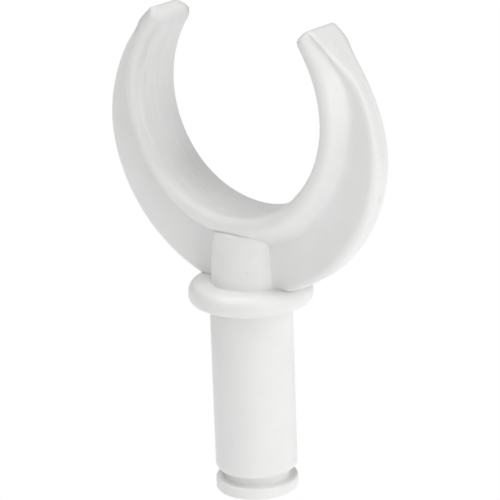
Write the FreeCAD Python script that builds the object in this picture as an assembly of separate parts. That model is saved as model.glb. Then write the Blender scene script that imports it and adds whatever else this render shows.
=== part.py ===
import FreeCAD, Part
import math
import os

V = FreeCAD.Vector

# One-piece moulded rowlock. +Z is up along the pin, X runs across the yoke, Y through its
# depth, and the origin lies on the pin axis at the underside of the collar. Millimetres.

# ---- pin, collar, keeper groove and foot disc (all turned about Z) ----
pin_r = 8.45               # plain pin, for a 17 mm socket
pin_end_z = -36.4          # lower face of the plain pin
pin_end_round = 1.3        # round on that lower end
groove_r = 6.6             # neck of the keeper groove
groove_low_z = -38.3       # top face of the foot disc
groove_root = 0.35         # fillet where the neck meets both faces
foot_r = 8.5               # foot disc
foot_z = -40.8             # underside of the foot disc
foot_round = 0.45          # round on both rims of the foot disc
collar_r = 12.7            # collar
collar_h = 4.35            # collar height
collar_round_top = 2.1     # bullnose above
collar_round_low = 1.6     # bullnose below
collar_root = 0.3          # fillet between pin and collar underside

# ---- neck boss, coaxial with the pin, standing proud of both web faces ----
boss_r_low = 8.0           # at the collar
boss_r_top = 7.25          # under the bearing band
boss_top_z = 15.55
boss_round = 0.5           # round on the upper rim
boss_crown = 0.45          # rise of its top towards the axis, per millimetre

# ---- yoke ----
jaw_centre_z = 41.8        # height of the centre of the oar opening
tip_angle = 38.6           # the straight part of each horn ends this far above the horizontal
crown_r = 23.0             # barrel radius of the bearing face, seen in section

# Stations of the section along one horn, by angle from the horizontal (-90 is the bottom of
# the jaw). The section is measured outward from the bearing face.
station_angle = [-90.0, -76.0, -62.0, -40.0, -16.0, 8.0, 24.0, 33.0, 38.6]
jaw_radius = [22.0, 22.0, 22.05, 22.0, 21.95, 21.88, 21.7, 21.62, 21.62]    # bearing face
band_half_depth = [6.9, 6.9, 6.8, 6.5, 6.4, 6.45, 6.15, 5.75, 5.45]        # bearing band, half of its depth
ridge_round = [2.12, 2.1, 2.05, 1.95, 1.9, 1.9, 1.9, 1.9, 1.9]              # front and back rims of the band
web_half = [2.3, 2.35, 2.5, 2.75, 2.65, 2.15, 3.1, 4.1, 4.3]                   # half of the web's thickness
web_reach = [17.5, 17.3, 16.7, 15.2, 12.75, 9.2, 6.45, 5.35, 4.9]              # outer edge of the web
band_slope = [55.5, 55.8, 56.2, 56.8, 58.2, 61.5, 60.0, 52.0, 47.0]            # underside of the band against the depth axis
web_root = [1.5, 1.5, 1.5, 1.45, 1.4, 1.2, 0.85, 0.7, 0.6]                  # fillet between band and web
web_edge_round = [0.75, 0.85, 1.35, 1.65, 1.35, 1.1, 0.9, 0.8, 0.8]         # round on the outer edges of the web

# Each horn runs on straight past its last station and is cut to a rounded end.
tip_run = 6.4              # length of the straight part before it is cut
tip_thinning = 0.05        # fall of the web's outer edge over that part, per millimetre
tip_top_z = 60.0           # level that the round off the bearing face would rise to
tip_round_in = 4.15        # that round
tip_round_out = 1.3        # small round at the outer edge of the end
tip_round_depth = 5.35     # elliptical round of the end face towards the front and the back: depth ...
tip_round_height = 4.25    # ... and height
tip_flat_depth = 0.4       # half of the flat left between those two rounds


def smooth(xs, ys, x):
    """Shape-keeping cubic through the stations, flat at the first one."""
    n = len(xs)
    h = [xs[i + 1] - xs[i] for i in range(n - 1)]
    d = [(ys[i + 1] - ys[i]) / h[i] for i in range(n - 1)]
    m = [0.0] * n
    for i in range(1, n - 1):
        if d[i - 1] * d[i] > 0:
            w1, w2 = 2 * h[i] + h[i - 1], h[i] + 2 * h[i - 1]
            m[i] = (w1 + w2) / (w1 / d[i - 1] + w2 / d[i])
    m[-1] = d[-1]
    i = max(0, min(n - 2, sum(1 for a in xs[1:] if a <= x)))
    t = (x - xs[i]) / h[i]
    return (ys[i] * (1 + 2 * t) * (1 - t) ** 2 + m[i] * h[i] * t * (1 - t) ** 2
            + ys[i + 1] * t * t * (3 - 2 * t) + m[i + 1] * h[i] * t * t * (t - 1))


def half_section(half_depth, ridge_r, half_web, reach, slope, root, edge):
    """Corner points of the front half of the section, each arc with its middle point."""
    phi = math.radians(slope)
    off = crown_r - math.sqrt((crown_r - ridge_r) ** 2 - (half_depth - ridge_r) ** 2)
    rc = (off, -(half_depth - ridge_r))

    def on(c, r, a):
        return (c[0] + r * math.cos(a), c[1] + r * math.sin(a))

    a_t = math.atan2(rc[1], rc[0] - crown_r) % (2 * math.pi)
    crown = [(0.0, 0.0), on((crown_r, 0.0), crown_r, 0.5 * (math.pi + a_t)), on((crown_r, 0.0), crown_r, a_t)]
    a_e = 1.5 * math.pi + phi
    ridge = [crown[2], on(rc, ridge_r, 0.5 * (a_t + a_e)), on(rc, ridge_r, a_e)]
    e = ridge[2]
    t = (-half_web - e[1]) / math.sin(phi)
    corner = (e[0] + t * math.cos(phi), -half_web)
    cut = min(root * math.tan(phi / 2), 0.9 * t)
    root = cut / math.tan(phi / 2)
    p4 = (corner[0] - cut * math.cos(phi), corner[1] - cut * math.sin(phi))
    c4 = (p4[0] + root * math.sin(phi), p4[1] - root * math.cos(phi))
    fillet = [p4, on(c4, root, 0.5 * math.pi + 0.5 * phi), (c4[0], -half_web)]
    reach = max(reach, c4[0] + 0.4)
    edge = min(edge, 0.95 * half_web, reach - c4[0] - 0.1)
    c5 = (reach - edge, -half_web + edge)
    corner5 = [(c5[0], -half_web), on(c5, edge, -0.25 * math.pi), (reach, c5[1])]
    return crown, ridge, fillet, corner5


def section_wire(values, matrix):
    """Closed section in its place."""
    crown, ridge, fillet, corner = half_section(*values)
    front = [crown, ridge, (ridge[2], fillet[0]), fillet, (fillet[2], corner[0]), corner]
    back = [[(u, -v) for u, v in q[::-1]] for q in front[::-1]]
    edges = []
    for q in front + [(corner[2], (corner[2][0], -corner[2][1]))] + back:
        q = [V(u, v, 0) for u, v in q]
        edges.append(Part.makeLine(*q) if len(q) == 2 else Part.Arc(*q).toShape())
    return Part.Wire(edges).transformGeometry(matrix)


def station(angle, side, beyond=0.0):
    """Values and placement of the section at an angle of one horn; side is +1 or -1."""
    a = math.radians(angle)
    r = smooth(station_angle, jaw_radius, angle)
    dr = (smooth(station_angle, jaw_radius, min(angle + 0.5, tip_angle))
          - smooth(station_angle, jaw_radius, max(angle - 0.5, -90.0))) / math.radians(
              min(angle + 0.5, tip_angle) - max(angle - 0.5, -90.0))
    tx, tz = dr * math.cos(a) - r * math.sin(a), dr * math.sin(a) + r * math.cos(a)
    if angle == -90.0:
        tx, tz = 1.0, 0.0
    n = math.hypot(tx, tz)
    tx, tz = tx / n, tz / n
    nx, nz = tz, -tx
    px, pz = r * math.cos(a) + tx * beyond, jaw_centre_z + r * math.sin(a) + tz * beyond
    values = [smooth(station_angle, k, angle) for k in
              (band_half_depth, ridge_round, web_half, web_reach, band_slope, web_root, web_edge_round)]
    m = FreeCAD.Matrix(side * nx, 0, side * tx, side * px, 0, 1, 0, 0, nz, 0, tz, pz, 0, 0, 0, 1)
    return values, m


def yoke_wires():
    plain = [-90 + (tip_angle + 90) * k / 14.0 for k in range(15)]
    right = []
    for angle in plain:
        values, m = station(angle, 1)
        right.append(section_wire(values, m))
    left = []
    for angle in plain[1:]:
        values, m = station(angle, -1)
        left.append(section_wire(values, m))
    for beyond in (0.5 * tip_run, tip_run):
        for side, out in ((1, right), (-1, left)):
            values, m = station(tip_angle, side, beyond)
            values[3] -= tip_thinning * beyond
            out.append(section_wire(values, m))
    return left[::-1] + right


def prism(edges, axis):
    """Solid over a closed outline."""
    return Part.Face(Part.Wire(edges)).extrude(axis)


def lines(points):
    return [Part.makeLine(p, q) for p, q in zip(points[:-1], points[1:])]


def tip_profile():
    """Rounded end of the right horn in XZ: a large round off the bearing face, then a small one
    tangent to it at the outer edge. Start, middle and end of each arc."""
    a = math.radians(tip_angle)
    n, t = (math.cos(a), math.sin(a)), (-math.sin(a), math.cos(a))
    start = (jaw_radius[-1] * n[0], jaw_centre_z + jaw_radius[-1] * n[1])
    r1, r2 = tip_round_in, tip_round_out
    away = jaw_radius[-1] + r1 - 0.03
    low = math.asin((tip_top_z - r1 - jaw_centre_z) / away)
    c1 = (away * math.cos(low), tip_top_z - r1)
    reach = web_reach[-1] + 0.05
    k = 1.0 / math.hypot(1.0, tip_thinning)
    to = (k * (t[0] - tip_thinning * n[0]), k * (t[1] - tip_thinning * n[1]))
    no = (to[1], -to[0])
    q = (start[0] + reach * n[0] - r2 * no[0] - c1[0], start[1] + reach * n[1] - r2 * no[1] - c1[1])
    b = q[0] * to[0] + q[1] * to[1]
    run = -b + math.sqrt(b * b - q[0] ** 2 - q[1] ** 2 + (r1 - r2) ** 2)
    c2 = (c1[0] + q[0] + run * to[0], c1[1] + q[1] + run * to[1])
    touch = math.atan2(c2[1] - c1[1], c2[0] - c1[0])
    out = math.atan2(no[1], no[0])

    def arc(c, r, a0, a1):
        return [(c[0] + r * math.cos(g), c[1] + r * math.sin(g)) for g in (a0, 0.5 * (a0 + a1), a1)]

    return arc(c1, r1, math.pi + low, touch), arc(c2, r2, touch, out)


def tip_cutters():
    """What is taken off the ends of the horns."""
    inner, outer = tip_profile()
    tools = []
    for side in (1, -1):
        def at(p):
            return V(side * p[0], -10, p[1])
        edges = [Part.Arc(*[at(p) for p in q]).toShape() for q in (inner, outer)]
        edges += lines([at(p) for p in (outer[2], (32.0, outer[2][1]), (32.0, 75.0), (2.0, 75.0),
                                        (2.0, inner[0][1]), inner[0])])
        tools.append(prism(edges, V(0, 20, 0)))
        # round towards the front or the back
        y0, z0 = side * tip_flat_depth, tip_top_z - tip_round_height
        y1 = side * (tip_flat_depth + tip_round_depth)
        long_way, short_way = (V(-35, y1, z0), V(-35, y0, tip_top_z))
        arc = Part.ArcOfEllipse(Part.Ellipse(long_way, short_way, V(-35, y0, z0)), 0, 0.5 * math.pi)
        edges = [arc.toShape()] + lines([short_way, V(-35, y0, 75), V(-35, side * 12, 75),
                                         V(-35, side * 12, z0), long_way])
        tools.append(prism(edges, V(70, 0, 0)))
    return tools


def rounded(points):
    """Closed profile in the XZ plane; each point is (x, z, corner radius)."""
    n = len(points)
    edges, start, last = [], None, None
    for i in range(n):
        (ax, az, _), (bx, bz, r), (cx, cz, _) = points[i - 1], points[i], points[(i + 1) % n]
        b = V(bx, 0, bz)
        if r <= 0:
            p, q, arc = b, b, None
        else:
            d1, d2 = V(ax, 0, az) - b, V(cx, 0, cz) - b
            d1.normalize()
            d2.normalize()
            half = 0.5 * d1.getAngle(d2)
            t = r / math.tan(half)
            p, q = b + d1 * t, b + d2 * t
            mid = d1 + d2
            mid.normalize()
            c = b + mid * (r / math.sin(half))
            arc = Part.Arc(p, c - mid * r, q).toShape()
        if last is not None and (p - last).Length > 1e-6:
            edges.append(Part.makeLine(last, p))
        if arc:
            edges.append(arc)
        if start is None:
            start = p
        last = q
    if (start - last).Length > 1e-6:
        edges.append(Part.makeLine(last, start))
    return Part.Wire(edges)


def turned():
    profile = rounded([
        (0, foot_z, 0), (foot_r, foot_z, foot_round), (foot_r, groove_low_z, foot_round),
        (groove_r, groove_low_z, groove_root), (groove_r, pin_end_z, groove_root),
        (pin_r, pin_end_z, pin_end_round), (pin_r, 0, collar_root),
        (collar_r, 0, collar_round_low), (collar_r, collar_h, collar_round_top),
        (boss_r_low, collar_h, 0.3), (boss_r_top, boss_top_z, boss_round),
        (0, boss_top_z + boss_crown * boss_r_top, 0)])
    return Part.Face(profile).revolve(V(0, 0, 0), V(0, 0, 1), 360)


def main():
    os.makedirs("parts", exist_ok=True)
    yoke = Part.makeLoft(yoke_wires(), True, False)
    for tool in tip_cutters():
        yoke = yoke.cut(tool)
    rowlock = turned().fuse(yoke).Solids[0]
    rowlock.exportStep("parts/rowlock.step")


main()
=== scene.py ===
import math

import bpy
from mathutils import Matrix, Vector


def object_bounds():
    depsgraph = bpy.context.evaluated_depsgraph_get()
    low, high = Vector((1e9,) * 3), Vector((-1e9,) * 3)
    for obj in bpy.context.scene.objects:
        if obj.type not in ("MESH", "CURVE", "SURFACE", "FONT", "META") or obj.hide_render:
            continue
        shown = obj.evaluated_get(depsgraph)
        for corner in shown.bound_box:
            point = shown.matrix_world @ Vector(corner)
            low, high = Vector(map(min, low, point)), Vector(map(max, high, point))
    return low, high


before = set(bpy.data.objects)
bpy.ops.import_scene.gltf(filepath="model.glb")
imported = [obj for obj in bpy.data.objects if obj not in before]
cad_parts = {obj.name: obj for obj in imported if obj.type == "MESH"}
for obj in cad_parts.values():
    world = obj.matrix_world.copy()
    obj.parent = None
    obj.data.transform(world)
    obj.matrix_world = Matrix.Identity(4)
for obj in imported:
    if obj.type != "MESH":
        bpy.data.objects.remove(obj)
cad_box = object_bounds()
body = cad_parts["rowlock"]

# ---------------------------------------------------------------- material


def node(tree, kind, **values):
    n = tree.nodes.new(kind)
    for k, v in values.items():
        if k in n.inputs:
            n.inputs[k].default_value = v
        else:
            setattr(n, k, v)
    return n


def nylon():
    """White satin nylon: faint clouding, a fine moulded skin, softened creases, a little scatter, painted
    shade in the corners and on the faces inside the jaw, wear streaks on the bearing face and short scuffs down the
    outer edge."""
    mat = bpy.data.materials.new("nylon")
    mat.use_nodes = True
    t = mat.node_tree
    t.nodes.clear()
    link = t.links.new
    out = node(t, "ShaderNodeOutputMaterial")
    bsdf = node(t, "ShaderNodeBsdfPrincipled")
    bsdf.inputs["IOR"].default_value = 1.53
    bsdf.inputs["Subsurface Weight"].default_value = 0.3
    bsdf.inputs["Subsurface Radius"].default_value = (1.0, 0.95, 0.9)
    bsdf.inputs["Subsurface Scale"].default_value = 0.0011
    link(bsdf.outputs["BSDF"], out.inputs["Surface"])
    pos = node(t, "ShaderNodeNewGeometry")

    def calc(kind, *values):
        n = node(t, "ShaderNodeMath", operation=kind)
        for k, v in enumerate(values):
            if isinstance(v, (int, float)):
                n.inputs[k].default_value = v
            else:
                link(v, n.inputs[k])
        return n.outputs["Value"]

    def product(*values):
        total = values[0]
        for v in values[1:]:
            total = calc("MULTIPLY", total, v)
        return total

    def span(value, lo, hi, a=0.0, b=1.0):
        n = node(t, "ShaderNodeMapRange")
        n.inputs["From Min"].default_value = lo
        n.inputs["From Max"].default_value = hi
        n.inputs["To Min"].default_value = a
        n.inputs["To Max"].default_value = b
        link(value, n.inputs["Value"])
        return n.outputs["Result"]

    def noise(scale, detail, rough=0.55, vector=None):
        n = node(t, "ShaderNodeTexNoise", Scale=scale, Detail=detail, Roughness=rough)
        link(vector or pos.outputs["Position"], n.inputs["Vector"])
        return n.outputs["Fac"]

    def vector(x, y, z):
        n = node(t, "ShaderNodeCombineXYZ")
        for k, v in enumerate((x, y, z)):
            link(v, n.inputs[k])
        return n.outputs["Vector"]

    # place on the yoke: length along the horn, distance from the jaw's axis, and which way the face looks
    p = node(t, "ShaderNodeSeparateXYZ")
    link(pos.outputs["Position"], p.inputs[0])
    n = node(t, "ShaderNodeSeparateXYZ")
    link(pos.outputs["Normal"], n.inputs[0])
    x, y, z = p.outputs[0], p.outputs[1], p.outputs[2]
    up = calc("SUBTRACT", z, 0.0418)
    rad = calc("SQRT", calc("ADD", product(x, x), product(up, up)))
    arc = calc("MULTIPLY", calc("ARCTAN2", up, calc("ABSOLUTE", x)), 0.028)
    side = calc("MULTIPLY", calc("SIGN", x), 0.1)
    facing = calc("DIVIDE", calc("ADD", product(n.outputs[0], x), product(n.outputs[2], up)), rad)
    outer = product(span(facing, 0.55, 0.8), span(rad, 0.0245, 0.0255), span(z, 0.016, 0.022))
    bearing = product(span(facing, -0.55, -0.85), span(rad, 0.0242, 0.0236))

    # scuffs near the middle of the outer face
    drift = span(noise(90.0, 2.0), 0.3, 0.7, -0.0012, 0.0012)
    middle = span(calc("ABSOLUTE", calc("ADD", y, drift)), 0.0005, 0.0012, 1.0, 0.0)
    chips = span(noise(1500.0, 2.0, 0.6, vector(calc("MULTIPLY", arc, 0.35), calc("MULTIPLY", y, 1.4), side)), 0.54, 0.72)
    patches = span(noise(170.0, 2.0), 0.46, 0.58)
    scuffs = product(outer, middle, chips, patches, 0.2)
    parting = product(outer, span(calc("ABSOLUTE", y), 0.00006, 0.00016, 1.0, 0.0), 0.04)

    # streaks that run with the horn on the bearing face, a few of them deeper
    streaks = span(noise(620.0, 3.0, 0.6, vector(calc("MULTIPLY", arc, 0.09), y, side)), 0.35, 0.7, 0.0, 0.045)
    deep = product(span(noise(1150.0, 1.0, 0.5, vector(calc("MULTIPLY", arc, 0.06), y, side)), 0.66, 0.72),
                   span(noise(140.0, 1.0), 0.5, 0.6), 0.09)
    # painted shade: a flat darkening of the faces that look into the jaw, fading out towards the bottom of the
    # cradle, standing in for the shade between the horns; the streaks and deeper streaks added to it are wear
    painted_shade_level = span(up, -0.0205, -0.0155, 0.0, 0.12)
    inward_face_mask = product(span(facing, -0.3, -0.75), span(rad, 0.0252, 0.0240))
    wear_and_painted_shade = calc("ADD", product(inward_face_mask, painted_shade_level), product(bearing, calc("ADD", streaks, deep)))

    # a small mark on the front of the boss, and painted shade darkening the corners and creases by ambient occlusion,
    # weaker towards the bottom
    spot = node(t, "ShaderNodeVectorMath", operation="DISTANCE")
    spot.inputs[1].default_value = (0.00435, -0.00635, 0.0083)
    link(pos.outputs["Position"], spot.inputs[0])
    mark = span(spot.outputs["Value"], 0.00015, 0.0005, 0.06, 0.0)
    corner = node(t, "ShaderNodeAmbientOcclusion", samples=8, only_local=True)
    corner.inputs["Distance"].default_value = 0.005
    painted_crease_shade = product(span(corner.outputs["AO"], 0.1, 0.5, 0.16, 0.0), span(z, -0.03, -0.01, 0.2, 1.0))

    # the real marks and the painted shade together, taken off the base colour
    marks_and_painted_shade = calc("ADD", calc("ADD", scuffs, parting), calc("ADD", wear_and_painted_shade, calc("ADD", mark, painted_crease_shade)))
    tint = node(t, "ShaderNodeValToRGB")
    tint.color_ramp.elements[0].position = 0.3
    tint.color_ramp.elements[0].color = (0.812, 0.820, 0.806, 1)
    tint.color_ramp.elements[1].position = 0.7
    tint.color_ramp.elements[1].color = (0.842, 0.848, 0.838, 1)
    link(noise(120.0, 4.0), tint.inputs["Fac"])
    shade = node(t, "ShaderNodeVectorMath", operation="SCALE")
    link(tint.outputs["Color"], shade.inputs[0])
    link(calc("SUBTRACT", 1.0, marks_and_painted_shade), shade.inputs["Scale"])
    link(shade.outputs["Vector"], bsdf.inputs["Base Color"])
    link(calc("ADD", span(noise(300.0, 3.0), 0.3, 0.7, 0.36, 0.46), product(bearing, 0.08)), bsdf.inputs["Roughness"])

    soft = node(t, "ShaderNodeBevel", samples=8)
    link(span(z, 0.047, 0.056, 0.0007, 0.0019), soft.inputs["Radius"])
    skin = node(t, "ShaderNodeBump")
    skin.inputs["Strength"].default_value = 0.25
    skin.inputs["Distance"].default_value = 0.00002
    link(noise(1400.0, 2.0), skin.inputs["Height"])
    link(soft.outputs["Normal"], skin.inputs["Normal"])
    link(skin.outputs["Normal"], bsdf.inputs["Normal"])
    return mat


mat = nylon()
body.data.materials.clear()
body.data.materials.append(mat)

# ---------------------------------------------------------------- stage


def mesh_object(name, verts, faces, material):
    me = bpy.data.meshes.new(name)
    me.from_pydata(verts, [], faces)
    me.update()
    ob = bpy.data.objects.new(name, me)
    bpy.context.scene.collection.objects.link(ob)
    ob.data.materials.append(material)
    return ob


def glow(name, colour, strength):
    """A glowing stage: black, with its brightness painted in as emission rather than lit by the lamps."""
    m = bpy.data.materials.new(name)
    m.use_nodes = True
    b = m.node_tree.nodes["Principled BSDF"]
    b.inputs["Base Color"].default_value = (0, 0, 0, 1)
    b.inputs["Specular IOR Level"].default_value = 0.0
    b.inputs["Roughness"].default_value = 1.0
    b.inputs["Emission Color"].default_value = colour
    b.inputs["Emission Strength"].default_value = strength
    return m


def painted_light_pool(m, near, far, edge):
    """A painted pool of light on the stage: beyond the near radius it falls off to a weaker glow."""
    t = m.node_tree
    place = node(t, "ShaderNodeNewGeometry")
    away = node(t, "ShaderNodeVectorMath", operation="LENGTH")
    fall = node(t, "ShaderNodeMapRange", interpolation_type="SMOOTHSTEP")
    for k, v in (("From Min", near), ("From Max", far), ("To Min", 1.0), ("To Max", edge)):
        fall.inputs[k].default_value = v
    t.links.new(place.outputs["Position"], away.inputs[0])
    t.links.new(away.outputs["Value"], fall.inputs["Value"])
    t.links.new(fall.outputs["Result"], t.nodes["Principled BSDF"].inputs["Emission Strength"])


floor_z = cad_box[0].z
# the floor glows as a painted pool of light, full within 0.45 m and fading to a quarter by 1.1 m; its glow also
# lights the object from below
floor = mesh_object("floor", [(-3, -3, floor_z), (3, -3, floor_z), (3, 3, floor_z), (-3, 3, floor_z)],
                    [(0, 1, 2, 3)], glow("floor_painted_glow", (1, 1, 1, 1), 1.0))
painted_light_pool(floor.data.materials[0], 0.45, 1.1, 0.25)

bpy.context.scene.view_settings.view_transform = "Standard"
world = bpy.data.worlds.new("studio")
bpy.context.scene.world = world
world.use_nodes = True
world.node_tree.nodes["Background"].inputs["Color"].default_value = (1, 1, 1, 1)
world.node_tree.nodes["Background"].inputs["Strength"].default_value = 0.03

# ---------------------------------------------------------------- camera

A, E, ROLL = math.radians(38.67), math.radians(18.57), math.radians(2.0)
DIST, FOCAL = 0.53575, 2641.5
OX, OY = 251.1, 299.24
fwd = -Vector((math.sin(A) * math.cos(E), -math.cos(A) * math.cos(E), math.sin(E)))
right0 = Vector((math.cos(A), math.sin(A), 0))
up0 = right0.cross(fwd)
right = math.cos(ROLL) * right0 - math.sin(ROLL) * up0
up = math.sin(ROLL) * right0 + math.cos(ROLL) * up0
x, y = (OX - 250) / FOCAL, -(OY - 250) / FOCAL
centre = -(fwd + x * right + y * up) * DIST
cam_data = bpy.data.cameras.new("camera")
cam_data.sensor_width = 36.0
cam_data.lens = FOCAL / 500.0 * 36.0
cam_data.clip_start, cam_data.clip_end = 0.01, 20.0
cam = bpy.data.objects.new("camera", cam_data)
bpy.context.scene.collection.objects.link(cam)
m = Matrix((right, up, -fwd)).transposed().to_4x4()
m.translation = centre
cam.matrix_world = m
bpy.context.scene.camera = cam

# ---------------------------------------------------------------- light


def softbox(name, azimuth, elevation, distance, size, power, target=(0, 0, 0.015)):
    """Area light; the azimuth is counted from the camera's side, positive to the camera's right."""
    a = A + math.radians(azimuth)
    e = math.radians(elevation)
    p = Vector((math.sin(a) * math.cos(e), -math.cos(a) * math.cos(e), math.sin(e))) * distance + Vector(target)
    data = bpy.data.lights.new(name, "AREA")
    data.shape = "RECTANGLE"
    data.size, data.size_y = size
    data.energy = power
    ob = bpy.data.objects.new(name, data)
    bpy.context.scene.collection.objects.link(ob)
    ob.matrix_world = Matrix.Translation(p) @ (Vector(target) - p).to_track_quat("-Z", "Y").to_matrix().to_4x4()
    return ob


softbox("key", 33, 10, 1.2, (0.6, 0.6), 4.5)
softbox("right", 65, 38, 1.2, (0.6, 0.6), 4.1)
softbox("side", 109, 16, 1.2, (0.6, 0.6), 1.4)
softbox("left", -55, 38, 1.2, (0.6, 0.6), 3.1)
softbox("front", -15, 38, 1.2, (0.6, 0.6), 0.8)
softbox("top_back", -120, 68, 1.2, (0.6, 0.6), 5.9)
softbox("top", 0, 68, 1.2, (0.6, 0.6), 1.7)
softbox("low_left", -110, 10, 1.2, (0.6, 0.6), 0.3)
